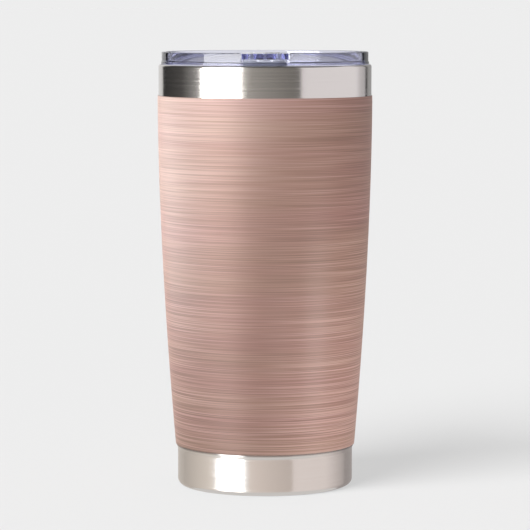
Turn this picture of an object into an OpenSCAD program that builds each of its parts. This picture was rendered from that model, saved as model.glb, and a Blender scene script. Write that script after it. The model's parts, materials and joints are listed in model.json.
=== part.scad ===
// Vacuum-insulated drinking tumbler: a double-walled steel body with a printed
// metallic wrap, and a clear press-in lid whose flip tab closes the spout.
// +Z is up. The origin is the centre of the foot, on the surface it stands on.
// The tab's nose points along -Y.

/* [Body] */
// Height of the steel body, without the lid
body_h = 175; // [165:1:185]
// Outer radius above the wrap
top_r = 44.06; // [43:0.02:45]
// Outer radius at the lower end of the taper
taper_end_r = 36.92; // [36.6:0.02:37.6]
// Outer radius of the straight band at the base
base_r = 36.4; // [35.8:0.1:36.5]
// How much the side curves: 1 would be a straight cone
taper_power = 1.75; // [1.2:0.05:2]
// Thickness of the steel sheet
sheet_t = 0.5; // [0.4:0.05:0.6]
// Height of the straight band at the base
band_h = 14.6; // [13:0.2:15]
// Width of the rounded lip around the mouth
lip_w = 2.26; // [2:0.02:2.6]

/* [Foot] */
// Radius of the foot's outer corner
foot_fillet = 2.4; // [1.5:0.1:3]
// Inner radius of the folded foot ring
hem_r = 31.2; // [30:0.1:32]
// Height of the foot ring's inner fold
hem_h = 4.4; // [3.5:0.1:4.6]
// Height of the base cover's underside above the surface
cover_z = 1.4; // [1:0.1:2]

/* [Wrap] */
// Height of the wrap's lower edge
wrap_bottom_z = 17; // [16.6:0.1:20]
// Height of the wrap's upper edge
wrap_top_z = 162; // [158:0.5:162]
// Thickness of the wrap
wrap_t = 0.35; // [0.2:0.05:0.5]
// Width of the open seam at the back of the wrap
seam_w = 0.5; // [0.3:0.1:1]

/* [Vacuum Space] */
// Gap between the two walls along the side
side_gap = 3.2; // [2.5:0.1:4]
// Height of the liner's floor inside
floor_z = 12; // [11.5:0.1:14]
// Radius of the liner's bottom corner
liner_corner = 8; // [6:0.5:9]
// Height of the weld between the liner's wall and its bottom
liner_seam_z = 22; // [21.5:0.5:26]
// Height of the sealed bottom's underside
port_plate_z = 5; // [4.8:0.1:5.4]
// Thickness of the copper radiation shield
foil_t = 0.15; // [0.1:0.05:0.2]

/* [Lid] */
// Height of the lid's rim above its seat
lid_rim_h = 5; // [4.6:0.1:5.4]
// Width of the lid's standing rim
lid_rim_w = 1.85; // [1.5:0.05:2]
// Height of the wider foot under the rim
rim_foot_h = 0.95; // [0.8:0.05:1]
// How far the rim's foot stands out
rim_foot_step = 0.3; // [0.2:0.05:0.5]
// Depth of the well, from the rim's top to the floor
well_depth = 6.6; // [6.6:0.1:7.2]
// Thickness of the lid's floor
lid_floor_t = 2; // [1.5:0.1:2.4]
// How far the plug reaches below its seat
plug_depth = 12.1; // [11.8:0.1:13]
// Length of the drinking hole, across the tab
spout_w = 18; // [16:0.5:18]
// Width of the drinking hole, along the tab
spout_d = 10; // [8.5:0.5:10]
// Radius of the vent hole
vent_r = 1.5; // [1.2:0.1:1.8]

/* [Flip Tab] */
// Width of the tab
tab_w = 18.8; // [18.5:0.1:20]
// Thickness of the tab's plate
tab_t = 2.2; // [1.8:0.1:2.4]
// Width of the narrow end that holds the hinge
knuckle_w = 12; // [11:0.5:12.5]
// Outer radius of the hinge knuckle
knuckle_r = 2.6; // [2.2:0.1:2.7]
// Radius of the hinge pin
pin_r = 1; // [0.8:0.05:1.1]
// Distance of the hinge in front of the lid's centre
hinge_y = -4; // [-5:0.5:-3.5]
// Width of the thumb recess in the nose
thumb_w = 6.3; // [5:0.1:8]

/* [Hidden] */
$fn = 96;
tiny = 0.01;

steel = "silver";
clear_blue = [0.75, 0.77, 0.95, 0.45];
silicone = [0.85, 0.87, 0.92, 0.7];

// Body
glue_t = 0.03;
side_steps = 32;
taper_h = wrap_top_z - wrap_bottom_z;
lip_r = lip_w / 2;
lip_centre = [top_r - lip_r, body_h - lip_r];
mouth_r = top_r - lip_w;
weld_r = top_r - sheet_t;
weld_angle = acos((weld_r - lip_centre.x) / lip_r);
lip_depth = 1.4;
lip_underside_h = 0.6;
hem_fillet = 0.8;

// Liner and vacuum space
neck_gap = lip_w - 2 * sheet_t;
neck_blend_h = 35;
liner_seam_r = liner_r(liner_seam_z);
foil_gap = 0.1;
foil_bottom_z = liner_seam_z + 4;
foil_top_z = body_h - 25;
plate_flange_h = 4;
plate_fillet = 1.5;
pocket_r = 5;
pocket_rise = 1.6;
pocket_slope = 1;
port_r = 0.8;
bead_r = 3.4;
bead_h = 1.1;
getter_r = 4;
getter_h = 2.6;
getter_x = 16;
clip_t = 0.4;
clip_w = 5;
clip_foot = 3;
cover_r = hem_r - 0.1;
cover_flange_h = 3;
cover_fillet = 1.2;
cover_step_in = 18;
cover_step_out = 22;
cover_step_h = 0.6;

// Lid
seat_gap = 0.1;
lid_z = body_h + seat_gap;
lid_top = lid_z + lid_rim_h;
lid_r = top_r - 1.31;
rim_round = 0.4;
foot_r = lid_r + rim_foot_step;
foot_chamfer = 0.3;
rim_in_r = lid_r - lid_rim_w;
ledge_z = lid_z + 1.1;
plug_r = mouth_r - 0.7;
plug_in_r = plug_r - 2.4;
well_r = plug_r - 1.9;
well_fillet = 1.2;
well_z = lid_top - well_depth;
plug_bottom = lid_z - plug_depth;
plug_chamfer = 0.7;
groove_bottom = plug_bottom + 1.6;
groove_h = 4.4;
groove_r = plug_r - 1.2;
gasket_clear = 0.08;
gasket_lip_r = mouth_r - 0.15;

// Hinge
hinge_z = lid_top - 3.1;
lug_w = 3;
side_clear = 0.15;
pin_running = 0.05;
pin_seat = 0.02;
pin_l = knuckle_w + 2 * (side_clear + lug_w) - 0.3;

// Tab
tab_top = lid_top - 0.3;
tab_under = tab_top - tab_t;
notch_clear = 0.4;
notch_z = ledge_z;
nose_bottom = notch_z + 0.2;
neck_front = hinge_y - 5;
shoulder_l = 4;
rib_w = 1.2;
rib_h = 1;
thumb_depth = 0.8;
thumb_roof = 0.5;

// Spout seal and vent plug
spout_y = -30.5;
spout_clear = 0.4;
seal_wall = 1.4;
seal_top_t = 1;
seal_bottom = well_z - 1.8;
stud_r = 1.1;
stud_x = 5;
vent_y = -17;
vent_plug_r = 1.15;
vent_tip_r = 0.8;

// Points on an arc in the r-z plane
function arc_points(centre, radius, from, to, steps = 10) = [
    for (i = [0:steps])
        let (a = from + (to - from) * i / steps)
        centre + radius * [cos(a), sin(a)]
];

// Smooth step from 0 to 1
function ease(t) = let (c = min(max(t, 0), 1)) c * c * (3 - 2 * c);

// Outer radius of the steel body: a straight band, a shoulder, then the curved taper
function taper_r(z) =
    top_r - (top_r - taper_end_r) * pow(max(wrap_top_z - z, 0) / taper_h, taper_power);
function body_r(z) =
    let (shoulder = ease((z - band_h) / (wrap_bottom_z - band_h)))
    base_r + (taper_r(max(z, wrap_bottom_z)) - base_r) * shoulder;

// Inner radius of the liner: narrow gap at the mouth, full gap below
function gap_at(z) = neck_gap + (side_gap - neck_gap) * ease((wrap_top_z - z) / neck_blend_h);
function liner_r(z) = body_r(z) - 2 * sheet_t - gap_at(z);

// Heights from one end to the other, both included
function heights(from, to, steps) = [for (i = [0:steps]) from + (to - from) * i / steps];

shell_heights = concat(heights(band_h, wrap_bottom_z, 8), heights(wrap_bottom_z, wrap_top_z, side_steps));

module lathe(points) {
    rotate_extrude(convexity = 6)
        polygon(points);
}

// Slot-shaped prism, long side along X, centred on the drinking hole
module spout_slot(w, d, z0, z1) {
    r = d / 2;
    translate([0, spout_y, z0])
        linear_extrude(z1 - z0)
            union() {
                for (side = [-1, 1])
                    translate([side * (w / 2 - r), 0])
                        circle(r);
                square([w - d, d], center = true);
            }
}

// Cylinder along X, centred on the hinge axis
module hinge_rod(r, l) {
    translate([0, hinge_y, hinge_z])
        rotate([0, 90, 0])
            cylinder(r = r, h = l, center = true);
}

module outer_shell() {
    foot_centre = [base_r - foot_fillet, foot_fillet];
    hem_centre = [hem_r + hem_fillet, hem_fillet];
    outside = [for (z = shell_heights) [body_r(z), z]];
    inside = [for (i = [len(shell_heights) - 1:-1:0])
        let (z = shell_heights[i]) [body_r(z) - sheet_t, z]];
    color(steel)
        lathe(concat(
            [[hem_r, hem_h]],
            arc_points(hem_centre, hem_fillet, 180, 270),
            arc_points(foot_centre, foot_fillet, 270, 360),
            outside,
            arc_points(lip_centre, lip_r, 0, weld_angle),
            inside,
            arc_points(foot_centre, foot_fillet - sheet_t, 360, 270),
            arc_points(hem_centre, hem_fillet - sheet_t, 270, 180),
            [[hem_r + sheet_t, hem_h]]
        ));
}

module inner_liner() {
    up = heights(liner_seam_z, wrap_top_z, side_steps);
    down = heights(wrap_top_z, liner_seam_z, side_steps);
    lip_underside_z = body_h - lip_depth;
    color(steel)
        lathe(concat(
            [for (z = up) [liner_r(z), z]],
            arc_points(lip_centre, lip_r, 180, weld_angle, 14),
            [
                [weld_r, lip_underside_z],
                [mouth_r + sheet_t + lip_underside_h, lip_underside_z],
                [mouth_r + sheet_t, lip_underside_z - lip_underside_h]
            ],
            [for (z = down) [liner_r(z) + sheet_t, z]]
        ));
}

module liner_bottom() {
    corner = [liner_seam_r - liner_corner, floor_z + liner_corner];
    color(steel)
        lathe(concat(
            [[0, floor_z]],
            arc_points(corner, liner_corner, -90, 0),
            [[liner_seam_r, liner_seam_z], [liner_seam_r + sheet_t, liner_seam_z]],
            arc_points(corner, liner_corner + sheet_t, 0, -90),
            [[0, floor_z - sheet_t]]
        ));
}

// Plate that closes the vacuum space, with a pocket around the pump-out port
module vacuum_bottom() {
    plate_r = base_r - sheet_t;
    z0 = port_plate_z;
    z1 = z0 + sheet_t;
    corner = [plate_r - plate_fillet, z0 + plate_fillet];
    color(steel)
        lathe(concat(
            [
                [port_r, z0 + pocket_rise],
                [pocket_r, z0 + pocket_rise],
                [pocket_r + pocket_slope, z0]
            ],
            arc_points(corner, plate_fillet, -90, 0),
            [[plate_r, z0 + plate_flange_h], [plate_r - sheet_t, z0 + plate_flange_h]],
            arc_points(corner, plate_fillet - sheet_t, 0, -90),
            [
                [pocket_r + pocket_slope + sheet_t / 2, z1],
                [pocket_r + sheet_t / 2, z1 + pocket_rise],
                [port_r, z1 + pocket_rise]
            ]
        ));
}

// Solder-glass button in the pocket, with a stem in the port
module seal_bead() {
    roof = port_plate_z + pocket_rise;
    color([0.25, 0.3, 0.35])
        lathe([
            [0, roof - bead_h],
            [bead_r - 0.6, roof - bead_h],
            [bead_r, roof - bead_h + 0.5],
            [bead_r, roof],
            [port_r, roof],
            [port_r, roof + sheet_t],
            [0, roof + sheet_t]
        ]);
}

module getter() {
    color("dimgray")
        translate([getter_x, 0, port_plate_z + sheet_t])
            cylinder(r = getter_r, h = getter_h);
}

// Strap bent over the getter and spot-welded to the plate at its two feet
module getter_clip() {
    z0 = port_plate_z + sheet_t;
    leg = getter_r + 0.1;
    roof = getter_h + clip_t;
    half = [
        [leg + clip_foot, 0],
        [leg + clip_foot, clip_t],
        [leg + clip_t, clip_t],
        [leg + clip_t, roof]
    ];
    inner_half = [[leg, getter_h], [leg, 0]];
    mirrored = [for (i = [3:-1:0]) [-half[i].x, half[i].y]];
    color("lightgray")
        translate([getter_x, clip_w / 2, z0])
            rotate([90, 0, 0])
                linear_extrude(clip_w)
                    polygon(concat(
                        half, mirrored, [[-leg, 0], [-leg, getter_h]], inner_half
                    ));
}

module copper_foil() {
    inner = sheet_t + foil_gap;
    color("peru")
        lathe(concat(
            [for (z = heights(foil_bottom_z, foil_top_z, side_steps)) [liner_r(z) + inner, z]],
            [for (z = heights(foil_top_z, foil_bottom_z, side_steps)) [liner_r(z) + inner + foil_t, z]]
        ));
}

// Pressed cover inside the foot ring, with a shallow raised ring
module base_cover() {
    corner = [cover_r - cover_fillet, cover_z + cover_fillet];
    slope = cover_step_h;
    top = cover_z + sheet_t;
    color(steel)
        lathe(concat(
            [
                [0, cover_z],
                [cover_step_in, cover_z],
                [cover_step_in + slope, cover_z + cover_step_h],
                [cover_step_out, cover_z + cover_step_h],
                [cover_step_out + slope, cover_z]
            ],
            arc_points(corner, cover_fillet, -90, 0),
            [[cover_r, cover_z + cover_flange_h], [cover_r - sheet_t, cover_z + cover_flange_h]],
            arc_points(corner, cover_fillet - sheet_t, 0, -90),
            [
                [cover_step_out + slope + sheet_t / 2, top],
                [cover_step_out + sheet_t / 2, top + cover_step_h],
                [cover_step_in + slope - sheet_t / 2, top + cover_step_h],
                [cover_step_in - sheet_t / 2, top],
                [0, top]
            ]
        ));
}

module graphic_wrap() {
    up = heights(wrap_bottom_z, wrap_top_z, side_steps);
    down = heights(wrap_top_z, wrap_bottom_z, side_steps);
    color([0.72, 0.55, 0.5])
        difference() {
            lathe(concat(
                [for (z = up) [body_r(z) + glue_t, z]],
                [for (z = down) [body_r(z) + glue_t + wrap_t, z]]
            ));
            translate([-seam_w / 2, 0, wrap_bottom_z - 1])
                cube([seam_w, top_r + 5, taper_h + 2]);
        }
}

// Lid: standing rim, seat, well, floor and plug skirt in one turned outline
module lid_turned() {
    rim_out = [lid_r - rim_round, lid_top - rim_round];
    rim_in = [rim_in_r + rim_round, lid_top - rim_round];
    well_corner = [well_r - well_fillet, well_z + well_fillet];
    lathe(concat(
        [
            [0, well_z - lid_floor_t],
            [plug_in_r, well_z - lid_floor_t],
            [plug_in_r, plug_bottom],
            [plug_r - plug_chamfer, plug_bottom],
            [plug_r, plug_bottom + plug_chamfer],
            [plug_r, groove_bottom],
            [groove_r, groove_bottom],
            [groove_r, groove_bottom + groove_h],
            [plug_r, groove_bottom + groove_h],
            [plug_r, lid_z],
            [foot_r - foot_chamfer, lid_z],
            [foot_r, lid_z + foot_chamfer],
            [foot_r, lid_z + rim_foot_h - rim_foot_step / 2],
            [lid_r, lid_z + rim_foot_h]
        ],
        arc_points(rim_out, rim_round, 0, 90, 5),
        arc_points(rim_in, rim_round, 90, 180, 5),
        [[rim_in_r, ledge_z], [well_r, ledge_z]],
        arc_points(well_corner, well_fillet, 0, -90, 6),
        [[0, well_z]]
    ));
}

// Two lugs that carry the hinge pin
module hinge_lugs() {
    for (side = [-1, 1])
        translate([side * (knuckle_w / 2 + side_clear + lug_w / 2), hinge_y, 0]) {
            translate([0, 0, hinge_z])
                rotate([0, 90, 0])
                    cylinder(r = knuckle_r, h = lug_w, center = true);
            translate([-lug_w / 2, -knuckle_r, well_z - 0.5])
                cube([lug_w, 2 * knuckle_r, hinge_z - well_z + 0.5]);
        }
}

module lid_body() {
    notch_w = tab_w + 2 * notch_clear;
    color(clear_blue)
        difference() {
            union() {
                lid_turned();
                hinge_lugs();
            }
            translate([-notch_w / 2, -lid_r - 1, notch_z])
                cube([notch_w, lid_r - well_r + 2.4, lid_top - notch_z + 1]);
            spout_slot(spout_w, spout_d, well_z - lid_floor_t - 1, well_z + 1);
            translate([0, vent_y, well_z - lid_floor_t - 1])
                cylinder(r = vent_r, h = lid_floor_t + 2);
            hinge_rod(pin_r + pin_seat, 3 * knuckle_w);
        }
}

// Silicone ring in the plug's groove, with two wiping lips
module lid_gasket() {
    z0 = groove_bottom + 0.1;
    inner = groove_r + gasket_clear;
    waist = plug_r - 0.1;
    lip_pitch = 2.3;
    color(silicone)
        lathe([
            [inner, z0],
            [waist, z0],
            [gasket_lip_r, z0 + 0.6],
            [gasket_lip_r, z0 + 1],
            [waist, z0 + 1.5],
            [waist, z0 + lip_pitch],
            [gasket_lip_r, z0 + lip_pitch + 0.6],
            [gasket_lip_r, z0 + lip_pitch + 1],
            [waist, z0 + lip_pitch + 1.5],
            [waist, z0 + groove_h - 0.2],
            [inner, z0 + groove_h - 0.2]
        ]);
}

module tab_outline() {
    polygon([
        [-tab_w / 2, -lid_r - 1],
        [tab_w / 2, -lid_r - 1],
        [tab_w / 2, neck_front - shoulder_l],
        [knuckle_w / 2, neck_front],
        [knuckle_w / 2, hinge_y],
        [-knuckle_w / 2, hinge_y],
        [-knuckle_w / 2, neck_front],
        [-tab_w / 2, neck_front - shoulder_l]
    ]);
}

module flip_tab() {
    stud_hole_r = stud_r + pin_seat;
    rib_l = neck_front - (spout_y + spout_d / 2) - 1;
    color(clear_blue)
        difference() {
            union() {
                intersection() {
                    union() {
                        translate([0, 0, tab_under])
                            linear_extrude(tab_t)
                                tab_outline();
                        difference() {
                            translate([-tab_w / 2, -lid_r - 1, nose_bottom])
                                cube([tab_w, lid_rim_w + 4, tab_under - nose_bottom + tiny]);
                            cylinder(r = rim_in_r, h = lid_top);
                        }
                    }
                    cylinder(r = lid_r, h = lid_top);
                }
                hinge_rod(knuckle_r, knuckle_w);
                for (side = [-1, 1])
                    translate([side * 4.4 - rib_w / 2, neck_front - rib_l, tab_under - rib_h])
                        cube([rib_w, rib_l, rib_h + tiny]);
            }
            hinge_rod(pin_r + pin_running, 2 * knuckle_w);
            translate([-thumb_w / 2, -lid_r - 1, nose_bottom - 1])
                cube([thumb_w, 1 + thumb_depth, tab_top - nose_bottom - thumb_roof + 1]);
            for (side = [-1, 1])
                translate([side * stud_x, spout_y, tab_under - 1])
                    cylinder(r = stud_hole_r, h = tab_t + 2);
            translate([0, vent_y, tab_under - 1])
                cylinder(r = stud_hole_r, h = tab_t + 2);
        }
}

module hinge_pin() {
    color("lightgray")
        hinge_rod(pin_r, pin_l);
}

// Hollow silicone stopper held to the tab by two studs
module spout_seal() {
    w = spout_w - 2 * spout_clear;
    d = spout_d - 2 * spout_clear;
    color(silicone)
        union() {
            difference() {
                spout_slot(w, d, seal_bottom, tab_under);
                spout_slot(w - 2 * seal_wall, d - 2 * seal_wall, seal_bottom - 1, tab_under - seal_top_t);
            }
            for (side = [-1, 1])
                translate([side * stud_x, spout_y, tab_under - tiny])
                    cylinder(r = stud_r, h = tab_t + tiny);
        }
}

// Small tapered stopper for the vent hole, held by its own stud
module vent_plug() {
    color(silicone)
        translate([0, vent_y, 0])
            lathe([
                [0, seal_bottom],
                [vent_tip_r, seal_bottom],
                [vent_plug_r, well_z],
                [vent_plug_r + 0.7, well_z + 0.7],
                [vent_plug_r + 0.7, tab_under],
                [stud_r, tab_under],
                [stud_r, tab_top],
                [0, tab_top]
            ]);
}

outer_shell();
inner_liner();
liner_bottom();
vacuum_bottom();
seal_bead();
getter();
getter_clip();
copper_foil();
base_cover();
graphic_wrap();
lid_body();
lid_gasket();
flip_tab();
hinge_pin();
spout_seal();
vent_plug();
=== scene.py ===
import json
import math

import bmesh
import bpy
from mathutils import Matrix, Vector


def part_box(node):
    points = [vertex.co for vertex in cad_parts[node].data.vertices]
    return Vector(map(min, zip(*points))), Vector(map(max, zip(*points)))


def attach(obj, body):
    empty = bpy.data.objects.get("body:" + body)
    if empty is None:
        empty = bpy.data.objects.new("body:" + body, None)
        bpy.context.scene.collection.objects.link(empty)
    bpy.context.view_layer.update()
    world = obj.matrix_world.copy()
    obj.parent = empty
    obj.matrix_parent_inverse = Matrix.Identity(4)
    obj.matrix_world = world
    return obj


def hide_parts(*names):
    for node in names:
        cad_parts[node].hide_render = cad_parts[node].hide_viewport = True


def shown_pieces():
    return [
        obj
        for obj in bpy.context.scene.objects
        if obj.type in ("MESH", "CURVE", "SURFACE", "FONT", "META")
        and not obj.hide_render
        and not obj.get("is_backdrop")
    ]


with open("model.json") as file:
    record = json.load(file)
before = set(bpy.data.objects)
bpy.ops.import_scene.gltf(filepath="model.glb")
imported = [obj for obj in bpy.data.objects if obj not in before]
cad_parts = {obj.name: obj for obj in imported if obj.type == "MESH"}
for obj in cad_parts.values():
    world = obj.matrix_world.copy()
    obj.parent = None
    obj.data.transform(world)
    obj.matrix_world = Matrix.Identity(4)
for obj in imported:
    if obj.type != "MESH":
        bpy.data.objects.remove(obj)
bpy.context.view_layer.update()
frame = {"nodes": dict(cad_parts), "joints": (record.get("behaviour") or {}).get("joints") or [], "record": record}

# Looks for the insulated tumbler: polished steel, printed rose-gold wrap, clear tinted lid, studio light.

MM = 0.001
SEGMENTS = 256          # steps around a turned piece
TOUCHING = 1e-7         # points closer than this are one
ON_AXIS = 1e-9          # a radius below this is the axis itself

mounts = {m["name"]: m for m in frame["record"]["mounts"]}
joints = {j["name"]: j for j in frame["joints"]}

# ---------------------------------------------------------------- sizes from the frame
shell_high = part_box("outer_shell")[1]
liner_low, liner_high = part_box("inner_liner")
cup_low, cup_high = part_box("liner_bottom")
wrap_low, wrap_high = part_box("graphic_wrap")
cover_low, cover_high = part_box("base_cover")
lid_low, lid_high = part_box("lid_body")
gasket_low, gasket_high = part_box("lid_gasket")
tab_low, tab_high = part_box("flip_tab")
pin_low, pin_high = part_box("hinge_pin")
seal_low, seal_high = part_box("spout_seal")
vent_low, vent_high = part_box("vent_plug")

BODY_H = liner_high.z
TOP_R = shell_high.x
BASE_R = mounts["base_band"]["dims"]["r_mm"] * MM
SHEET_T = 0.5 * MM              # each wall's steel
LIP_W = 2.26 * MM               # both walls and the gap between them, at the rolled lip
LIP_R = LIP_W / 2
LIP_CENTRE = (TOP_R - LIP_R, BODY_H - LIP_R)
LIP_WELD = math.degrees(math.acos((LIP_R - SHEET_T) / LIP_R))       # where the walls meet on the lip's arc
MOUTH_R = TOP_R - LIP_W
WRAP_BOTTOM = wrap_low.z
WRAP_TOP = wrap_high.z
WRAP_T = 0.35 * MM
GLUE_T = 0.03 * MM
TAPER_END_R = TOP_R - 7.14 * MM     # steel under the wrap's lower edge
TAPER_POWER = 1.75
NECK_H = 35 * MM                # height over which the vacuum gap widens below the neck
SIDE_GAP = 3.2 * MM
BAND_H = 14.6 * MM              # top of the straight base band
HEM_R = 31.2 * MM               # inside of the foot ring
HINGE = Vector(joints["tab_flip"]["pos_m"])


# ---------------------------------------------------------------- outlines in the r-z plane
def ease(t):
    """Smooth step from 0 to 1."""
    t = min(max(t, 0.0), 1.0)
    return t * t * (3 - 2 * t)


def heights(low, high, steps):
    """Evenly spaced heights, both ends among them."""
    return [low + (high - low) * i / steps for i in range(steps + 1)]


def taper_r(z):
    """Outer radius of the steel behind the wrap."""
    down = max(WRAP_TOP - z, 0.0) / (WRAP_TOP - WRAP_BOTTOM)
    return TOP_R - (TOP_R - TAPER_END_R) * down ** TAPER_POWER


def body_r(z):
    """Outer radius of the steel: straight band, shoulder, curved taper."""
    shoulder = ease((z - BAND_H) / (WRAP_BOTTOM - BAND_H))
    return BASE_R + (taper_r(max(z, WRAP_BOTTOM)) - BASE_R) * shoulder


def liner_r(z):
    """Inner radius of the liner: narrow gap at the mouth, full gap below."""
    neck_gap = LIP_W - 2 * SHEET_T
    gap = neck_gap + (SIDE_GAP - neck_gap) * ease((WRAP_TOP - z) / NECK_H)
    return body_r(z) - 2 * SHEET_T - gap


def arc(centre, radius, start, end, steps=8):
    """Points on an arc, its ends given in degrees."""
    turn = [math.radians(start + (end - start) * i / steps) for i in range(steps + 1)]
    return [(centre[0] + radius * math.cos(a), centre[1] + radius * math.sin(a)) for a in turn]


def rounded(corners, steps=5):
    """An outline whose corners (r, z, fillet radius) are rounded; a corner may leave the radius out."""
    points = []
    count = len(corners)
    for i, corner in enumerate(corners):
        here = Vector(corner[:2])
        radius = corner[2] if len(corner) > 2 else 0.0
        if radius == 0.0:
            points.append(tuple(here))
            continue
        before = (Vector(corners[i - 1][:2]) - here).normalized()
        after = (Vector(corners[(i + 1) % count][:2]) - here).normalized()
        half = before.angle(after) / 2
        reach = radius / math.tan(half)
        centre = here + (before + after).normalized() * (radius / math.sin(half))
        first = here + before * reach - centre
        last = here + after * reach - centre
        swing = first.angle_signed(last)
        for k in range(steps + 1):
            turned = Matrix.Rotation(-swing * k / steps, 2) @ first
            points.append(tuple(centre + turned))
    return points


# ---------------------------------------------------------------- mesh helpers
def new_object(name, data):
    """An object in the scene that shows a mesh, lamp or camera."""
    made = bpy.data.objects.new(name, data)
    bpy.context.scene.collection.objects.link(made)
    return made


def keep_mesh(bm, name):
    """Turns a bmesh into a mesh, and frees the bmesh."""
    mesh = bpy.data.meshes.new(name)
    bm.to_mesh(mesh)
    bm.free()
    return mesh


def finish_mesh(mesh, smooth_angle=32):
    """Closes pinholes, turns every face outwards, and leaves edges sharp only where the form turns hard."""
    bm = bmesh.new()
    bm.from_mesh(mesh)
    bmesh.ops.remove_doubles(bm, verts=bm.verts, dist=TOUCHING)
    bmesh.ops.dissolve_degenerate(bm, edges=bm.edges, dist=TOUCHING)
    open_edges = [edge for edge in bm.edges if edge.is_boundary]
    bmesh.ops.holes_fill(bm, edges=open_edges, sides=4)
    bmesh.ops.recalc_face_normals(bm, faces=bm.faces)
    bm.to_mesh(mesh)
    bm.free()
    mesh.shade_smooth()
    mesh.set_sharp_from_angle(angle=math.radians(smooth_angle))
    return mesh


def lathe_mesh(name, outline, segments=SEGMENTS, start=0.0, sweep=360.0):
    """Turns a closed outline, or one that starts and ends on the axis, about Z."""
    full = sweep >= 360.0
    columns = segments if full else segments + 1
    bm = bmesh.new()
    rings = []
    for r, z in outline:
        if r < ON_AXIS:
            rings.append([bm.verts.new((0, 0, z))] * columns)
            continue
        turns = [math.radians(start + sweep * i / segments) for i in range(columns)]
        rings.append([bm.verts.new((r * math.cos(a), r * math.sin(a), z)) for a in turns])
    pairs = list(zip(rings, rings[1:]))
    if outline[0][0] >= ON_AXIS:
        pairs.append((rings[-1], rings[0]))
    for low, high in pairs:
        for i in range(segments):
            j = (i + 1) % columns
            corners = []
            for vert in (low[i], low[j], high[j], high[i]):
                if vert not in corners:
                    corners.append(vert)
            if len(corners) > 2:
                bm.faces.new(corners)
    if not full:
        bm.faces.new([ring[0] for ring in rings])
        bm.faces.new([ring[-1] for ring in rings])
    return keep_mesh(bm, name)


def lathe(name, outline, start=0.0, sweep=360.0):
    """A turned piece."""
    return new_object(name, finish_mesh(lathe_mesh(name, outline, start=start, sweep=sweep)))


def prism_mesh(name, outline, low, high):
    """A flat outline (x, y) made solid between two heights."""
    bm = bmesh.new()
    bottom = [bm.verts.new((x, y, low)) for x, y in outline]
    top = [bm.verts.new((x, y, high)) for x, y in outline]
    bm.faces.new(list(reversed(bottom)))
    bm.faces.new(top)
    count = len(outline)
    for i in range(count):
        j = (i + 1) % count
        bm.faces.new((bottom[i], bottom[j], top[j], top[i]))
    bmesh.ops.recalc_face_normals(bm, faces=bm.faces)
    return keep_mesh(bm, name)


def combine(name, base, steps, bevel=0.0):
    """Applies (operation, mesh) booleans to a base mesh, then an edge bevel, and keeps the result."""
    body = new_object(name, base)
    tools = []
    for i, (operation, mesh) in enumerate(steps):
        tool = new_object(f"{name}_tool_{i}", mesh)
        tools.append(tool)
        change = body.modifiers.new(f"step_{i}", "BOOLEAN")
        change.operation = operation
        change.object = tool
        change.solver = "EXACT"
    if bevel:
        edge = body.modifiers.new("edges", "BEVEL")
        edge.width = bevel
        edge.segments = 3
        edge.limit_method = "ANGLE"
        edge.angle_limit = math.radians(50)
        edge.use_clamp_overlap = True
    bpy.context.view_layer.update()
    seen = body.evaluated_get(bpy.context.evaluated_depsgraph_get())
    made = bpy.data.meshes.new_from_object(seen)
    made.name = name
    body.modifiers.clear()
    body.data = finish_mesh(made)
    for tool in tools:
        bpy.data.objects.remove(tool)
    return body


def place(piece, body, slot, *nodes):
    """Puts a piece on its body, in place of its CAD nodes."""
    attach(piece, body)
    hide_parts(*nodes)
    return piece


def paint(piece, material):
    """Gives a piece its only material."""
    piece.data.materials.clear()
    piece.data.materials.append(material)


# ---------------------------------------------------------------- material helpers
NOISE_LOW, NOISE_HIGH = 0.3, 0.7        # where most of a noise's values lie


def feed(tree, socket, value):
    """Links a socket to another, or sets it to a number or colour."""
    if isinstance(value, bpy.types.NodeSocket):
        tree.links.new(value, socket)
    else:
        socket.default_value = value


def map_range(tree, value, low, high, new_low, new_high):
    """Moves a value from one range to another, and holds it inside the new one."""
    node = tree.nodes.new("ShaderNodeMapRange")
    for name, given in (("Value", value), ("From Min", low), ("From Max", high),
                        ("To Min", new_low), ("To Max", new_high)):
        feed(tree, node.inputs[name], given)
    return node.outputs["Result"]


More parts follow.
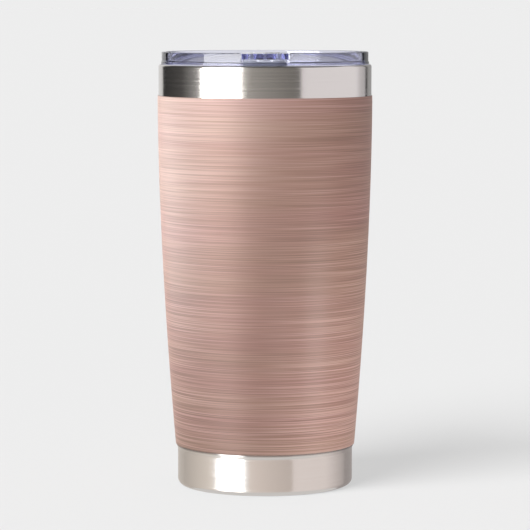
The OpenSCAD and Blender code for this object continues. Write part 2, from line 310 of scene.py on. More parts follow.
class Shader:
    """A material built from nodes, with short calls for what every finish here needs."""

    def __init__(self, name):
        self.material = bpy.data.materials.new(name)
        self.material.use_nodes = True
        self.tree = self.material.node_tree
        self.tree.nodes.clear()
        self.output = self.tree.nodes.new("ShaderNodeOutputMaterial")
        self.surface = self.tree.nodes.new("ShaderNodeBsdfPrincipled")
        self.link(self.surface.outputs["BSDF"], self.output.inputs["Surface"])

    def link(self, source, target):
        self.tree.links.new(source, target)

    def feed(self, socket, value):
        feed(self.tree, socket, value)

    def set(self, **values):
        """Sets or links the main shader's sockets; Base_Color means Base Color."""
        for name, value in values.items():
            self.feed(self.surface.inputs[name.replace("_", " ")], value)
        return self

    def coordinates(self, scale):
        """Object coordinates stretched by a scale on each axis, per metre."""
        source = self.tree.nodes.new("ShaderNodeTexCoord")
        stretch = self.tree.nodes.new("ShaderNodeVectorMath")
        stretch.operation = "MULTIPLY"
        self.link(source.outputs["Object"], stretch.inputs[0])
        stretch.inputs[1].default_value = scale
        return stretch.outputs["Vector"]

    def noise(self, scale, detail=2.0, roughness=0.5, distortion=0.0):
        """Soft random values round 0.5, with a frequency per metre for each axis."""
        node = self.tree.nodes.new("ShaderNodeTexNoise")
        self.link(self.coordinates(scale), node.inputs["Vector"])
        node.inputs["Scale"].default_value = 1.0
        node.inputs["Detail"].default_value = detail
        node.inputs["Roughness"].default_value = roughness
        node.inputs["Distortion"].default_value = distortion
        return node.outputs["Fac"]

    def math(self, operation, a, b, clamp=False):
        node = self.tree.nodes.new("ShaderNodeMath")
        node.operation = operation
        node.use_clamp = clamp
        self.feed(node.inputs[0], a)
        self.feed(node.inputs[1], b)
        return node.outputs["Value"]

    def total(self, *terms, clamp=False):
        """The sum of all the terms."""
        value = terms[0]
        for term in terms[1:-1]:
            value = self.math("ADD", value, term)
        return self.math("ADD", value, terms[-1], clamp)

    def remap(self, value, low, high, new_low=0.0, new_high=1.0):
        return map_range(self.tree, value, low, high, new_low, new_high)

    def spread(self, noise, low, high):
        """Noise as a run from one number to another."""
        return self.remap(noise, NOISE_LOW, NOISE_HIGH, low, high)

    def ramp(self, value, stops):
        """Colours by position, each stop (position, (r, g, b))."""
        node = self.tree.nodes.new("ShaderNodeValToRGB")
        band = node.color_ramp
        while len(band.elements) < len(stops):
            band.elements.new(0.5)
        for element, (position, colour) in zip(band.elements, stops):
            element.position = position
            element.color = (*colour, 1.0)
        self.feed(node.inputs["Fac"], value)
        return node.outputs["Color"]

    def blend(self, value, low_colour, high_colour):
        """Noise as a run from one colour to another."""
        return self.ramp(value, [(NOISE_LOW, low_colour), (NOISE_HIGH, high_colour)])

    def mix(self, kind, factor, a, b):
        """Mixes two colours that other nodes give."""
        node = self.tree.nodes.new("ShaderNodeMix")
        node.data_type = "RGBA"
        node.blend_type = kind
        for socket, value in zip((0, 6, 7), (factor, a, b)):
            self.feed(node.inputs[socket], value)
        return node.outputs[2]

    def grey(self, value):
        """A number as a grey colour."""
        node = self.tree.nodes.new("ShaderNodeCombineColor")
        for channel in ("Red", "Green", "Blue"):
            self.feed(node.inputs[channel], value)
        return node.outputs["Color"]

    def bump(self, height, strength, distance):
        node = self.tree.nodes.new("ShaderNodeBump")
        node.inputs["Strength"].default_value = strength
        node.inputs["Distance"].default_value = distance
        self.feed(node.inputs["Height"], height)
        self.link(node.outputs["Normal"], self.surface.inputs["Normal"])
        return self

    def tangent(self):
        """Tangent that runs round the Z axis, so that brushed highlights follow the turning."""
        node = self.tree.nodes.new("ShaderNodeTangent")
        node.direction_type = "RADIAL"
        node.axis = "Z"
        self.link(node.outputs["Tangent"], self.surface.inputs["Tangent"])
        return self

    def let_light_in(self):
        """Lets lamps and soft light through unbent, so that what the piece covers stays lit."""
        clear = self.tree.nodes.new("ShaderNodeBsdfTransparent")
        path = self.tree.nodes.new("ShaderNodeLightPath")
        shader = self.surface.outputs["BSDF"]
        for ray in ("Is Diffuse Ray", "Is Shadow Ray"):
            choose = self.tree.nodes.new("ShaderNodeMixShader")
            self.link(path.outputs[ray], choose.inputs[0])
            self.link(shader, choose.inputs[1])
            self.link(clear.outputs["BSDF"], choose.inputs[2])
            shader = choose.outputs["Shader"]
        self.link(shader, self.output.inputs["Surface"])
        return self

    def position(self):
        """X, Y and Z of the shaded point, in the object's own frame."""
        source = self.tree.nodes.new("ShaderNodeTexCoord")
        split = self.tree.nodes.new("ShaderNodeSeparateXYZ")
        self.link(source.outputs["Object"], split.inputs["Vector"])
        return [split.outputs[axis] for axis in "XYZ"]


# ---------------------------------------------------------------- materials
def brushed_steel():
    """Stainless steel turned with fine lines that run round the body. They differ in gloss more than in
    colour, so they show where the steel mirrors something dark beside something bright. Just under the
    wrap the steel is darkened with painted shade, as if the wrap's edge shaded it."""
    s = Shader("brushed_steel")
    step_h = 0.9 * MM
    lines = s.noise((16, 16, 2000), detail=1.0, roughness=0.7)
    tone = s.blend(lines, (0.645, 0.61, 0.58), (0.67, 0.635, 0.605))
    up = s.position()[2]
    # Painted shade: darkened to a quarter over the step just under the wrap, and under the wrap itself
    below = s.remap(up, WRAP_BOTTOM - step_h, WRAP_BOTTOM, 1.0, 0.25)
    above = s.remap(up, WRAP_TOP - 0.2 * MM, WRAP_TOP, 0.0, 1.0)
    tone = s.mix("MULTIPLY", 1.0, tone, s.grey(s.math("MAXIMUM", below, above)))
    s.set(Base_Color=tone, Metallic=1.0, Roughness=s.spread(lines, 0.14, 0.23))
    s.set(Anisotropic=0.6, Anisotropic_Rotation=0.25)
    s.bump(lines, 0.03, 0.00003)
    return s.tangent().material


def liner_steel():
    """Satin electropolished steel inside the cup."""
    s = Shader("liner_steel")
    fine = s.noise((40, 40, 5000))
    cloud = s.noise((90, 90, 90), detail=3.0)
    tone = s.blend(cloud, (0.55, 0.54, 0.53), (0.68, 0.67, 0.66))
    s.set(Base_Color=tone, Metallic=1.0, Roughness=s.spread(fine, 0.28, 0.4))
    s.set(Anisotropic=0.5, Anisotropic_Rotation=0.25)
    s.bump(fine, 0.05, 0.00004)
    return s.tangent().material


def printed_wrap():
    """Film printed as brushed rose gold: long straight hairlines round the cup over soft bands of tan and
    pink. Painted light and shade lie over the print: paler high up and low on +X, darker high on +X, as
    light falls on foil. The bottom edge is darkened with painted shade."""
    s = Shader("rose_gold_wrap")

    def swing(noise, reach):
        """Noise that runs from -reach to reach, with nearly all of its values inside."""
        return s.remap(noise, 0.25, 0.75, -reach, reach)

    hair = s.noise((22, 22, 3400), detail=0.0)
    streak = s.noise((10, 10, 700), detail=1.0, roughness=0.6)
    band = s.noise((4, 4, 120))
    patch = s.noise((14, 14, 22), detail=1.0)
    hue = s.noise((8, 8, 75))
    lines = s.total(swing(hair, 0.5), swing(streak, 0.06))
    broad = s.total(swing(band, 0.5), swing(patch, 0.3))

    side, _, up = s.position()
    contrast = s.remap(up, WRAP_BOTTOM, WRAP_TOP, 0.85, 0.48)
    # Painted light and shade: paler low on +X and high up, darker high on +X
    rightward = s.remap(side, -TOP_R, TOP_R, -1.0, 1.0)
    downward = s.remap(up, WRAP_BOTTOM, WRAP_TOP, 1.0, -1.0)
    painted_light_low_right = s.remap(s.total(rightward, downward), 0.2, 2.0, 0.0, 0.42)
    painted_shade_by_height = s.remap(up, 0.4 * WRAP_TOP, WRAP_TOP, 0.0, -0.32)
    painted_shade_high_right = s.math("MULTIPLY", s.remap(side, 0, TOP_R), painted_shade_by_height)
    high = s.remap(up, 0.6 * WRAP_TOP, WRAP_TOP, -0.12, 0.22)
    pattern = [s.math("MULTIPLY", lines, contrast), s.math("MULTIPLY", broad, 0.11)]
    value = s.total(*pattern, painted_light_low_right, painted_shade_high_right, high, 0.5, clamp=True)

    # The light ends of the ramps are paler: the print's light streaks, and a painted whitish sheen where the
    # painted light above raises the value
    tans = [(0.29, 0.155, 0.118), (0.48, 0.271, 0.207), (0.71, 0.46, 0.385)]
    pinks = [(0.30, 0.142, 0.123), (0.49, 0.257, 0.211), (0.72, 0.44, 0.395)]
    tan, pink = [s.ramp(value, list(zip((0.0, 0.5, 1.0), colours))) for colours in (tans, pinks)]
    tone = s.mix("MIX", s.remap(hue, 0.4, 0.7), tan, pink)
    # Painted shade along the wrap's bottom edge
    painted_edge_shade = s.remap(up, WRAP_BOTTOM, WRAP_BOTTOM + 0.4 * MM, 0.4, 1.0)
    tone = s.mix("MULTIPLY", 1.0, tone, s.grey(painted_edge_shade))
    s.set(Base_Color=tone, Roughness=s.remap(lines, -0.4, 0.4, 0.47, 0.53), Specular_IOR_Level=0.5)
    return s.bump(lines, 0.04, 0.00003).material


def clear_plastic(name, density):
    """Clear moulded plastic with a blue-violet tint that deepens with thickness."""
    s = Shader(name)
    haze = s.noise((120, 120, 120))
    s.set(Base_Color=(0.97, 0.97, 1.0, 1.0), Roughness=s.spread(haze, 0.01, 0.045))
    s.set(Transmission_Weight=1.0, IOR=1.5)
    absorb = s.tree.nodes.new("ShaderNodeVolumeAbsorption")
    absorb.inputs["Color"].default_value = (0.22, 0.25, 0.64, 1.0)
    absorb.inputs["Density"].default_value = density
    s.link(absorb.outputs["Volume"], s.output.inputs["Volume"])
    s.bump(haze, 0.02, 0.0001)
    return s.let_light_in().material


def silicone():
    """Milky blue-grey silicone with a dry surface."""
    s = Shader("silicone")
    grain = s.noise((2500, 2500, 2500))
    tone = s.blend(grain, (0.56, 0.58, 0.66), (0.64, 0.66, 0.73))
    s.set(Base_Color=tone, Roughness=s.spread(grain, 0.42, 0.55), Transmission_Weight=0.35, IOR=1.41)
    return s.bump(grain, 0.08, 0.00003).material


def drawn_steel():
    """Plain drawn wire and strip."""
    s = Shader("drawn_steel")
    lines = s.noise((400, 6000, 6000))
    tone = s.blend(lines, (0.55, 0.55, 0.56), (0.74, 0.74, 0.75))
    s.set(Base_Color=tone, Metallic=1.0, Roughness=s.spread(lines, 0.2, 0.34))
    return s.bump(lines, 0.05, 0.00003).material


def copper():
    """Thin copper foil with faint handling creases."""
    s = Shader("copper_foil")
    crease = s.noise((160, 160, 90), detail=4.0, distortion=0.6)
    tone = s.blend(crease, (0.62, 0.27, 0.15), (0.83, 0.42, 0.26))
    s.set(Base_Color=tone, Metallic=1.0, Roughness=s.spread(crease, 0.16, 0.34))
    return s.bump(crease, 0.3, 0.0003).material


def sintered():
    """Dark sintered getter metal."""
    s = Shader("sintered_getter")
    grain = s.noise((5000, 5000, 5000), detail=3.0)
    tone = s.blend(grain, (0.05, 0.05, 0.055), (0.14, 0.14, 0.15))
    s.set(Base_Color=tone, Metallic=0.8, Roughness=s.spread(grain, 0.6, 0.85))
    return s.bump(grain, 0.4, 0.0001).material


def solder_glass():
    """Dark glassy seal over the pump-out port."""
    s = Shader("solder_glass")
    swirl = s.noise((900, 900, 900), detail=3.0, distortion=1.0)
    tone = s.blend(swirl, (0.02, 0.025, 0.03), (0.07, 0.085, 0.1))
    s.set(Base_Color=tone, Roughness=s.spread(swirl, 0.05, 0.2), Coat_Weight=0.5)
    return s.bump(swirl, 0.1, 0.0002).material


steel = brushed_steel()
inside_steel = liner_steel()
wrap_film = printed_wrap()
lid_plastic = clear_plastic("clear_plastic", 105.0)
tab_plastic = clear_plastic("clear_plastic_tab", 50.0)
rubber = silicone()
wire = drawn_steel()


# ---------------------------------------------------------------- the steel body
def make_outer_shell():
    """The outer wall, from the curled foot ring up to the weld on the rolled lip."""
    fillet = 2.4 * MM
    hem = 0.8 * MM
    hem_top = 4.4 * MM
    foot_centre = (BASE_R - fillet, fillet)
    hem_centre = (HEM_R + hem, hem)
    levels = heights(BAND_H, WRAP_BOTTOM, 10) + heights(WRAP_BOTTOM, WRAP_TOP, 60)[1:]
    outline = [(HEM_R, hem_top)]
    outline += arc(hem_centre, hem, 180, 270)
    outline += arc(foot_centre, fillet, 270, 360, 12)
    outline += [(body_r(z), z) for z in levels]
    outline += arc(LIP_CENTRE, LIP_R, 0, LIP_WELD, 10)
    outline += [(body_r(z) - SHEET_T, z) for z in reversed(levels)]
    outline += arc(foot_centre, fillet - SHEET_T, 360, 270, 12)
    outline += arc(hem_centre, hem - SHEET_T, 270, 180)
    outline += [(HEM_R + SHEET_T, hem_top)]
    piece = lathe("steel_outer_shell", outline)
    paint(piece, steel)
    return place(piece, "flask", "brushed_steel", "outer_shell")


def make_inner_liner():
    """The inner wall, with the lip that rolls over to the outer wall."""
    weld_r = TOP_R - SHEET_T
    under = BODY_H - 1.4 * MM
    step = 0.6 * MM
    levels = heights(liner_low.z, WRAP_TOP, 60)
    outline = [(liner_r(z), z) for z in levels]
    outline += arc(LIP_CENTRE, LIP_R, 180, LIP_WELD, 16)
    outline += [(weld_r, under), (MOUTH_R + SHEET_T + step, under), (MOUTH_R + SHEET_T, under - step)]
    outline += [(liner_r(z) + SHEET_T, z) for z in reversed(levels)]
    piece = lathe("steel_inner_liner", outline)
    paint(piece, inside_steel)
    return place(piece, "flask", "brushed_steel", "inner_liner")


def make_liner_bottom():
    """The liner's drawn bottom cup."""
    seam = cup_high.z
    wall = liner_r(seam)
    corner = 8 * MM
    floor = cup_low.z + SHEET_T
    centre = (wall - corner, floor + corner)
    outline = [(0, floor)] + arc(centre, corner, -90, 0, 20)
    outline += [(wall, seam), (wall + SHEET_T, seam)]
    outline += arc(centre, corner + SHEET_T, 0, -90, 20) + [(0, floor - SHEET_T)]
    piece = lathe("steel_liner_bottom", outline)
    paint(piece, inside_steel)
    return place(piece, "flask", "brushed_steel", "liner_bottom")


def make_base_cover():
    """The pressed cover inside the foot ring, with a raised stiffening ring."""
    low, high = cover_low.z, cover_high.z
    inside = low + SHEET_T
    radius = cover_high.x
    step = 0.6 * MM
    ring_in, ring_out = 18 * MM, 22 * MM
    soft, rim = 0.4 * MM, 0.1 * MM
    corners = [(0, low), (ring_in, low, soft), (ring_in + step, low + step, soft)]
    corners += [(ring_out, low + step, soft), (ring_out + step, low, soft), (radius, low, 1.2 * MM)]
    corners += [(radius, high, rim), (radius - SHEET_T, high, rim), (radius - SHEET_T, inside, 0.7 * MM)]
    corners += [(ring_out + 1.5 * step, inside, soft), (ring_out + step / 2, inside + step, soft)]
    corners += [(ring_in + step / 2, inside + step, soft), (ring_in - step / 2, inside, soft)]
    corners += [(0, inside)]
    piece = lathe("steel_base_cover", rounded(corners))
    paint(piece, steel)
    return place(piece, "flask", "brushed_steel", "base_cover")


def make_wrap():
    """The film, with softened edges, open by a narrow seam at the back."""
    seam = 0.5 * MM
    edge = 0.12 * MM
    cut = 0.3 * edge
    levels = heights(WRAP_BOTTOM, WRAP_TOP, 90)
    skin = GLUE_T + WRAP_T
    top_r = body_r(WRAP_TOP) + skin
    bottom_r = body_r(WRAP_BOTTOM) + skin
    outline = [(body_r(z) + GLUE_T, z) for z in levels]
    outline += [(top_r - edge, WRAP_TOP), (top_r - cut, WRAP_TOP - cut)]
    outline += [(body_r(z) + skin, z) for z in reversed(levels[1:-1])]
    outline += [(bottom_r - cut, WRAP_BOTTOM + cut), (bottom_r - edge, WRAP_BOTTOM)]
    gap = math.degrees(seam / TOP_R)
    piece = lathe("rose_gold_wrap", outline, start=90 + gap / 2, sweep=360 - gap)
    paint(piece, wrap_film)
    return place(piece, "flask", "wrap", "graphic_wrap")


# ---------------------------------------------------------------- the lid
SEAT_Z = BODY_H + 0.1 * MM      # underside of the lid's rim
RIM_TOP = lid_high.z
FOOT_R = lid_high.x             # the rim's slightly wider foot
FOOT_STEP = 0.3 * MM
FOOT_TOP = SEAT_Z + 0.95 * MM
LID_R = FOOT_R - FOOT_STEP
RIM_IN = LID_R - 1.85 * MM
LEDGE_Z = SEAT_Z + 1.1 * MM     # ledge between the rim and the well
PLUG_R = MOUTH_R - 0.7 * MM
PLUG_IN = PLUG_R - 2.4 * MM
GROOVE_R = PLUG_R - 1.2 * MM    # bottom of the gasket's groove
WELL_R = PLUG_R - 1.9 * MM
WELL_Z = RIM_TOP - 6.6 * MM
WELL_UNDER = WELL_Z - 2 * MM    # underside of the well's floor
TAB_W = tab_high.x - tab_low.x
TAB_TOP = tab_high.z
TAB_UNDER = TAB_TOP - 2.2 * MM
NOTCH_HALF = TAB_W / 2 + 0.4 * MM
NOSE_LOW = LEDGE_Z + 0.2 * MM
KNUCKLE_R = 2.6 * MM
KNUCKLE_W = 12 * MM
BORE_HALF = 20 * MM             # half length of a tool that drills right through
PIN_R = (pin_high.z - pin_low.z) / 2
STUD_X = 5 * MM                 # the spout seal's studs, either side of the middle
SPOUT_GAP = 0.4 * MM            # all round the spout's seal
SPOUT_Y = (seal_low.y + seal_high.y) / 2
SPOUT_W = seal_high.x - seal_low.x + 2 * SPOUT_GAP
SPOUT_D = seal_high.y - seal_low.y + 2 * SPOUT_GAP
VENT_Y = (vent_low.y + vent_high.y) / 2


def slot_outline(w, d, y):
    """A slot with round ends, long side along X."""
    r = d / 2
    middle = w / 2 - r
    return arc((middle, y), r, -90, 90, 24) + arc((-middle, y), r, 90, 270, 24)


def disc_outline(radius, x, y, steps=32):
    return arc((x, y), radius, 0, 360 - 360 / steps, steps - 1)


def box_outline(left, right, front, back):
    return [(left, front), (right, front), (right, back), (left, back)]


# turns a form that stands on the origin to lie along X, and puts it on the hinge's axis
ON_HINGE = Matrix.Translation((0, HINGE.y, HINGE.z)) @ Matrix.Rotation(math.pi / 2, 4, "Y")


def rod_mesh(name, radius, half_length, x=0.0):
    """A round bar along X on the hinge's axis."""
    mesh = prism_mesh(name, disc_outline(radius, 0, 0, 48), -half_length, half_length)
    mesh.transform(Matrix.Translation((x, 0, 0)) @ ON_HINGE)
    return mesh


def lid_outline():
    """The lid's turned form: plug skirt with its groove, foot, standing rim, ledge and well."""
    groove_low = gasket_low.z - 0.1 * MM
    groove_high = gasket_high.z + 0.1 * MM
    edge = 0.15 * MM
    return rounded([
        (0, WELL_UNDER),
        (PLUG_IN, WELL_UNDER, 0.6 * MM),
        (PLUG_IN, lid_low.z, 0.3 * MM),
        (PLUG_R - 0.7 * MM, lid_low.z, 0.3 * MM),
        (PLUG_R, lid_low.z + 0.7 * MM, 0.4 * MM),
        (PLUG_R, groove_low, edge),
        (GROOVE_R, groove_low, edge),
        (GROOVE_R, groove_high, edge),
        (PLUG_R, groove_high, edge),
        (PLUG_R, SEAT_Z, edge),
        (FOOT_R, SEAT_Z, 0.3 * MM),
        (FOOT_R, FOOT_TOP, 0.25 * MM),
        (LID_R, FOOT_TOP + 0.04 * MM, 0.08 * MM),
        (LID_R, RIM_TOP, 0.45 * MM),
        (RIM_IN, RIM_TOP, 0.45 * MM),
        (RIM_IN, LEDGE_Z, 0.35 * MM),
        (WELL_R, LEDGE_Z, 0.3 * MM),
        (WELL_R, WELL_Z, 1.2 * MM),
        (0, WELL_Z),
    ])


def make_lid_body():
    """The clear lid, with the hinge lugs, the notch for the tab's nose, the spout and the vent."""
    steps = []
    lug_w = 3 * MM
    for side in (-1, 1):
        middle = side * (KNUCKLE_W / 2 + 0.15 * MM + lug_w / 2)
        left, right = middle - lug_w / 2, middle + lug_w / 2
        leg = box_outline(left, right, HINGE.y - KNUCKLE_R, HINGE.y + KNUCKLE_R)
        steps.append(("UNION", prism_mesh("leg", leg, WELL_Z - 0.5 * MM, HINGE.z)))
        steps.append(("UNION", rod_mesh("head", KNUCKLE_R, lug_w / 2, middle)))
    notch = box_outline(-NOTCH_HALF, NOTCH_HALF, -LID_R - MM, -WELL_R + 1.4 * MM)
    steps.append(("DIFFERENCE", prism_mesh("notch", notch, LEDGE_Z, RIM_TOP + MM)))
    spout = slot_outline(SPOUT_W, SPOUT_D, SPOUT_Y)
    vent = disc_outline(1.5 * MM, 0, VENT_Y)
    for name, hole in (("spout", spout), ("vent", vent)):
        steps.append(("DIFFERENCE", prism_mesh(name, hole, WELL_UNDER - MM, WELL_Z + 0.5 * MM)))
    steps.append(("DIFFERENCE", rod_mesh("bore", PIN_R + 0.02 * MM, BORE_HALF)))
    piece = combine("clear_lid", lathe_mesh("clear_lid", lid_outline()), steps)
    paint(piece, lid_plastic)
    return place(piece, "lid", "clear_plastic", "lid_body")


def make_gasket():
    """The seal ring, with two wiping lips."""
    low, high = gasket_low.z, gasket_high.z
    lip = gasket_high.x
    inner = GROOVE_R + 0.08 * MM
    waist = PLUG_R - 0.1 * MM
    soft = 0.12 * MM
    second = low + 2.3 * MM
    outline = [(inner, low, soft)]
    for base, start in ((low, (waist, low, soft)), (second, (waist, second + 0.1 * MM, soft / 3))):
        outline += [start, (lip, base + 0.6 * MM, soft), (lip, base + 1 * MM, soft)]
        outline += [(waist, base + 1.5 * MM, soft)]
    outline += [(waist, high, soft), (inner, high, soft)]
    piece = lathe("silicone_gasket", rounded(outline, 4))
    paint(piece, rubber)
    return place(piece, "gasket", "silicone", "lid_gasket")


def make_tab():
    """The clear tab: a plate from the hinge to the nose that closes the rim's notch, with a thumb recess."""
    neck = HINGE.y - 5 * MM
    shoulder = 4 * MM
    half = TAB_W / 2
    knuckle = KNUCKLE_W / 2
    plan = rounded([
        (-half, -LID_R - MM), (half, -LID_R - MM), (half, neck - shoulder, 2.5 * MM),
        (knuckle, neck, 2.5 * MM), (knuckle, HINGE.y), (-knuckle, HINGE.y),
        (-knuckle, neck, 2.5 * MM), (-half, neck - shoulder, 2.5 * MM),
    ], 8)
    plate = prism_mesh("plate", plan, TAB_UNDER, TAB_TOP)
    nose = box_outline(-half, half, -LID_R - MM, -RIM_IN + 4 * MM)
    rim = rounded([(0, 0), (RIM_IN, 0), (RIM_IN, RIM_TOP), (0, RIM_TOP)])
    outer = [(0, 0), (LID_R, 0), (LID_R, RIM_TOP + MM), (0, RIM_TOP + MM)]
    steps = [("UNION", rod_mesh("knuckle", KNUCKLE_R, knuckle))]
    nose_piece = combine("nose", prism_mesh("nose", nose, NOSE_LOW, TAB_UNDER + 0.3 * MM),
                         [("DIFFERENCE", lathe_mesh("rim", rim))])
    nose_mesh = nose_piece.data.copy()
    bpy.data.objects.remove(nose_piece)
    steps.append(("UNION", nose_mesh))
    rib_l = neck - (SPOUT_Y + SPOUT_D / 2) - MM
    for side in (-1, 1):
        middle = side * 4.4 * MM
        rib = box_outline(middle - 0.6 * MM, middle + 0.6 * MM, neck - rib_l, neck)
        steps.append(("UNION", prism_mesh("rib", rib, TAB_UNDER - MM, TAB_UNDER + 0.2 * MM)))
    steps.append(("INTERSECT", lathe_mesh("outer", outer)))
    steps.append(("DIFFERENCE", rod_mesh("bore", PIN_R + 0.05 * MM, BORE_HALF)))
    thumb = box_outline(-3.15 * MM, 3.15 * MM, -LID_R - MM, -LID_R + 0.8 * MM)
    steps.append(("DIFFERENCE", prism_mesh("thumb", thumb, NOSE_LOW - MM, TAB_TOP - 0.5 * MM)))
    for x, y in ((-STUD_X, SPOUT_Y), (STUD_X, SPOUT_Y), (0, VENT_Y)):
        hole = disc_outline(1.12 * MM, x, y)
        steps.append(("DIFFERENCE", prism_mesh("hole", hole, TAB_UNDER - 2 * MM, TAB_TOP + MM)))
    piece = combine("clear_flip_tab", plate, steps, bevel=0.25 * MM)
    paint(piece, tab_plastic)
    return place(piece, "tab", "clear_plastic", "flip_tab")


def make_pin():
    """The hinge pin, turned upright and then laid along X."""
    soft = 0.2 * MM
    left, right = pin_low.x, pin_high.x
    outline = rounded([(0, left), (PIN_R, left, soft), (PIN_R, right, soft), (0, right)])
    mesh = lathe_mesh("steel_hinge_pin", outline, 48)
    mesh.transform(ON_HINGE)
    piece = new_object("steel_hinge_pin", finish_mesh(mesh))
    paint(piece, wire)
    return place(piece, "lid", "pin_steel", "hinge_pin")


def make_spout_seal():
    """The hollow stopper under the tab, held by two studs."""
    low, under, top = seal_low.z, TAB_UNDER, seal_high.z
    w, d = seal_high.x - seal_low.x, seal_high.y - seal_low.y
    wall = 1.4 * MM
    inner = slot_outline(w - 2 * wall, d - 2 * wall, SPOUT_Y)
    steps = [("DIFFERENCE", prism_mesh("hollow", inner, low - MM, under - MM))]
    for side in (-1, 1):
        stud = disc_outline(1.1 * MM, side * STUD_X, SPOUT_Y)
        steps.append(("UNION", prism_mesh("stud", stud, under - 0.3 * MM, top)))
    outer = prism_mesh("silicone_spout_seal", slot_outline(w, d, SPOUT_Y), low, under)
    piece = combine("silicone_spout_seal", outer, steps, bevel=0.2 * MM)
    paint(piece, rubber)
    return place(piece, "tab", "silicone", "spout_seal")


def make_vent_plug():
    """The small stopper under the tab: tip, shoulder and the stud that holds it."""
    low, high = vent_low.z, vent_high.z
    soft = 0.25 * MM
    wide = vent_high.x
    stud = 1.1 * MM
    corners = [(0, low), (0.8 * MM, low, soft), (1.15 * MM, WELL_Z, soft)]
    corners += [(wide, WELL_Z + 0.7 * MM, soft), (wide, TAB_UNDER, 0.05 * MM)]
    corners += [(stud, TAB_UNDER), (stud, high, soft), (0, high)]
    mesh = lathe_mesh("silicone_vent_plug", rounded(corners), 48)
    mesh.transform(Matrix.Translation((0, VENT_Y, 0)))
    piece = new_object("silicone_vent_plug", finish_mesh(mesh))
    paint(piece, rubber)
    return place(piece, "tab", "silicone", "vent_plug")


make_outer_shell()
make_inner_liner()
make_liner_bottom()
make_base_cover()
make_wrap()
make_lid_body()
make_gasket()
make_tab()
make_pin()
make_spout_seal()
make_vent_plug()

# CAD nodes that stay, with finishes of their own
kept_nodes = {"vacuum_bottom": steel, "seal_bead": solder_glass(), "getter": sintered(),
              "getter_clip": wire, "copper_foil": copper()}
for node, material in kept_nodes.items():
    paint(frame["nodes"][node], material)


# ---------------------------------------------------------------- studio
BACKDROP = 0.85         # brightness of the paper and the room, as the camera meets them
CEILING = 0.12          # brightness overhead, in reflections
FILL = 0.13             # strength of the even light on matt surfaces
FLOOR_GLOW = 0.592      # the paper's own brightness, to which the key light adds the rest
KEY_AZIMUTH = -43

CAMERA_PLACE = (0.0, -1.1765, 0.1985)
CAMERA_DOWN = 5.2       # degrees below level
CAMERA_LENS = 192.7     # mm, on a sensor 36 mm wide

CARD_DISTANCE = 0.9
CARD_STEPS = 48
SOFT_EDGE = 0.22        # share of a card's width over which its edge eases
LOW, MIDDLE, HIGH = -0.6, 0.0, 0.9      # heights of the cards' two tiers

COOL = (0.91, 1.0, 1.04)
WARM = (1.0, 0.927, 0.91)
WARM_LEFT = (1.0, 0.93, 0.86)
WARM_GREY = (1.0, 0.90, 0.845)
COOL_GREY = (1.0, 0.977, 0.934)
PINK = (1.0, 0.98, 1.02)


def direction(azimuth, elevation):
    """Unit vector towards a place in the studio. Azimuths run from the camera's side: negative to its left,
    positive to its right."""
    a, e = math.radians(azimuth), math.radians(elevation)
    return Vector((math.sin(a) * math.cos(e), -math.cos(a) * math.cos(e), math.sin(e)))


def attribute_glow(name, colour):
    """A material that glows with a colour, as strongly as the mesh's glow attribute says."""
    material = bpy.data.materials.new(name)
    material.use_nodes = True
    tree = material.node_tree
    tree.nodes.clear()
    output = tree.nodes.new("ShaderNodeOutputMaterial")
    shine = tree.nodes.new("ShaderNodeEmission")
    shine.inputs["Color"].default_value = (*colour, 1.0)
    level = tree.nodes.new("ShaderNodeAttribute")
    level.attribute_name = "glow"
    tree.links.new(level.outputs["Fac"], shine.inputs["Strength"])
    tree.links.new(shine.outputs["Emission"], output.inputs["Surface"])
    return material


def reflector(name, start, end, low, high, strengths, colour=(1, 1, 1), through=True, edges=None):
    """A curved card round the object from one azimuth to another, seen only in reflections and, with
    through, in the clear lid. The strength runs from end to end, and eases towards the edges' own strengths
    where they are given."""
    bm = bmesh.new()
    glow = bm.verts.layers.float.new("glow")
    columns = []
    for i in range(CARD_STEPS + 1):
        share = i / CARD_STEPS
        x, y, _ = direction(start + (end - start) * share, 0) * CARD_DISTANCE
        column = [bm.verts.new((x, y, z)) for z in (low, high)]
        strength = strengths[0] + (strengths[1] - strengths[0]) * share
        if edges:
            edge = edges[0] if share < 0.5 else edges[1]
            inward = min(min(share, 1 - share) / SOFT_EDGE, 1.0)
            strength = edge + (strength - edge) * inward ** 3
        for vert in column:
            vert[glow] = strength
        columns.append(column)
    for left, right in zip(columns, columns[1:]):
        bm.faces.new((left[0], right[0], right[1], left[1]))
    card = new_object(name, keep_mesh(bm, name))
    paint(card, attribute_glow(name, colour))
    card.visible_camera = False
    card.visible_diffuse = False
    card.visible_shadow = False
    card.visible_transmission = through
    card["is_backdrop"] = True


def add_lamp(name, kind, azimuth, elevation, strength, only):
    """A lamp that the camera doesn't see, on some objects only, which shines back along a direction."""
    data = bpy.data.lights.new(name, kind)
    data.energy = strength
    lamp = new_object(name, data)
    lamp.rotation_mode = "QUATERNION"
    lamp.rotation_quaternion = direction(azimuth, elevation).to_track_quat("Z", "Y")
    lamp.light_linking.receiver_collection = only
    lamp.visible_camera = False
    return lamp


def sun(name, azimuth, elevation, strength, angle, only, glossy=True):
    """A soft distant light."""
    lamp = add_lamp(name, "SUN", azimuth, elevation, strength, only)
    lamp.data.angle = math.radians(angle)
    lamp.visible_glossy = glossy


def near_lamp(name, azimuth, distance, height, size, strength, only, colour=(1, 1, 1)):
    """A round soft lamp that faces the cup's axis at its own height."""
    lamp = add_lamp(name, "AREA", azimuth, 0, strength, only)
    lamp.data.shape = "DISK"
    lamp.data.size = size
    lamp.data.color = colour
    lamp.location = direction(azimuth, 0) * distance + Vector((0, 0, height))


def group(name, members):
    """A collection for light linking only."""
    made = bpy.data.collections.new(name)
    for member in members:
        made.objects.link(member)
    return made


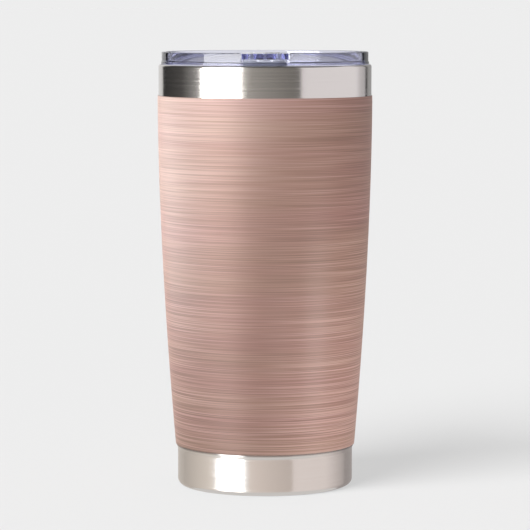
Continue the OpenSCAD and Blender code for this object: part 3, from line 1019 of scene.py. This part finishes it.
def make_floor():
    """Pale paper. Most of its brightness is its own, so that only the key light's shadow shows on it."""
    size = 400.0
    thick = 0.02
    floor = new_object("floor", prism_mesh("floor", box_outline(-size, size, -size, size), -thick, 0.0))
    s = Shader("floor_paper")
    grain = s.noise((300, 300, 300))
    tone = s.blend(grain, (0.148, 0.148, 0.148), (0.152, 0.152, 0.152))
    s.set(Base_Color=tone, Roughness=0.95, Specular_IOR_Level=0.0)
    s.set(Emission_Color=(1.0, 1.0, 1.0, 1.0), Emission_Strength=FLOOR_GLOW)
    s.material.cycles.emission_sampling = "NONE"
    paint(floor, s.material)
    floor.visible_glossy = False
    floor.visible_diffuse = False
    floor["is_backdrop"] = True
    return floor


def make_world():
    """Even white light under a darker ceiling. Seen directly it matches the paper; as fill on matt surfaces
    it is weaker, so that the key light models."""
    world = bpy.data.worlds.new("studio")
    bpy.context.scene.world = world
    world.use_nodes = True
    tree = world.node_tree
    path = tree.nodes.new("ShaderNodeLightPath")
    sky = tree.nodes.new("ShaderNodeTexCoord")
    split = tree.nodes.new("ShaderNodeSeparateXYZ")
    tree.links.new(sky.outputs["Generated"], split.inputs["Vector"])
    reflected = map_range(tree, split.outputs["Z"], 0.45, 0.7, BACKDROP, CEILING)
    filled = map_range(tree, path.outputs["Is Diffuse Ray"], 0, 1, reflected, FILL)
    seen = map_range(tree, path.outputs["Is Camera Ray"], 0, 1, filled, BACKDROP)
    background = tree.nodes["Background"]
    background.inputs["Color"].default_value = (1, 1, 1, 1)
    tree.links.new(seen, background.inputs["Strength"])


def make_camera():
    """The camera, in front of the object and looking a little down."""
    data = bpy.data.cameras.new("camera")
    data.sensor_width = 36.0
    data.lens = CAMERA_LENS
    data.clip_start, data.clip_end = 0.05, 1000.0
    camera = new_object("camera", data)
    camera.location = CAMERA_PLACE
    camera.rotation_euler = (math.radians(90 - CAMERA_DOWN), 0.0, 0.0)
    bpy.context.scene.camera = camera


make_camera()
make_world()
on_floor = group("floor_only", [make_floor()])
wrap = bpy.data.objects["rose_gold_wrap"]
on_wrap = group("wrap_only", [wrap])
on_rest = group("all_but_wrap", [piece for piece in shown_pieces() if piece != wrap])

# azimuth, elevation, strength and angle across of each sun
sun("shadow_key", KEY_AZIMUTH, 36, 8.5, 42, on_floor)
for azimuth in (-150, 150):
    sun("wrap_back", azimuth, 15, 1.0, 50, on_wrap)
    sun("rest_back", azimuth, 30, 0.9, 50, on_rest, glossy=False)
sun("rest_key", KEY_AZIMUTH, 40, 1.6, 50, on_rest, glossy=False)
sun("rest_top", 0, 85, 1.0, 50, on_rest, glossy=False)
sun("wrap_front", 10, 0, 0.24, 50, on_wrap)

# azimuth, distance, height, size and power of each lamp
near_lamp("wrap_front_high", -17, 0.19, 0.27, 0.15, 0.21, on_wrap, COOL)
near_lamp("wrap_left_high", -80, 0.21, 0.26, 0.15, 0.14, on_wrap, COOL)
near_lamp("wrap_left_middle", -80, 0.21, 0.10, 0.15, 0.19, on_wrap, COOL)
near_lamp("wrap_left_far", -110, 0.21, 0.11, 0.15, 0.20, on_wrap, COOL)
near_lamp("wrap_front_low", 15, 0.21, 0.03, 0.05, 0.045, on_wrap)
near_lamp("wrap_right_low", 55, 0.21, 0.03, 0.05, 0.14, on_wrap)

# first and last azimuth, lower and upper edge, and strength at both ends of each card
reflector("softbox_high", -70, -26, MIDDLE, HIGH, (9.0, 9.0))
reflector("softbox_low", -71, -22, LOW, MIDDLE, (6.0, 6.0), edges=(1.0, 0.98))
reflector("front_high", -26, 38, MIDDLE, HIGH, (0.43, 0.18), COOL_GREY)
reflector("front_low", -22, 36, LOW, MIDDLE, (0.98, 0.74), WARM_GREY)
reflector("right_high", 38, 136, MIDDLE, HIGH, (1.0, 1.0), PINK, edges=(1.0, 0.6))
reflector("right_low", 36, 86, LOW, MIDDLE, (1.02, 0.98), WARM)
reflector("right_side_low", 86, 128, LOW, MIDDLE, (0.98, 0.52), WARM)
reflector("right_strip", 136, 143, MIDDLE, HIGH, (0.06, 0.06), through=False)
reflector("right_back", 143, 180, MIDDLE, HIGH, (0.38, 0.38), through=False)
reflector("right_back_low", 128, 180, LOW, MIDDLE, (0.42, 0.42), WARM, through=False)
reflector("left_near", -98, -70, MIDDLE, HIGH, (0.08, 0.40), through=False)
reflector("left_flag", -142, -98, MIDDLE, HIGH, (0.035, 0.08), through=False)
reflector("left_low", -134, -71, LOW, MIDDLE, (0.60, 1.0), WARM_LEFT)
reflector("left_back", -180, -142, MIDDLE, HIGH, (0.80, 0.80), through=False)
reflector("left_back_low", -180, -134, LOW, MIDDLE, (0.66, 0.66), WARM_LEFT, through=False)

scene = bpy.context.scene
scene.view_settings.view_transform = "Standard"
scene.cycles.use_denoising = True
scene.cycles.max_bounces = 16
scene.cycles.caustics_reflective = False
scene.cycles.transmission_bounces = 16
scene.cycles.transparent_max_bounces = 16
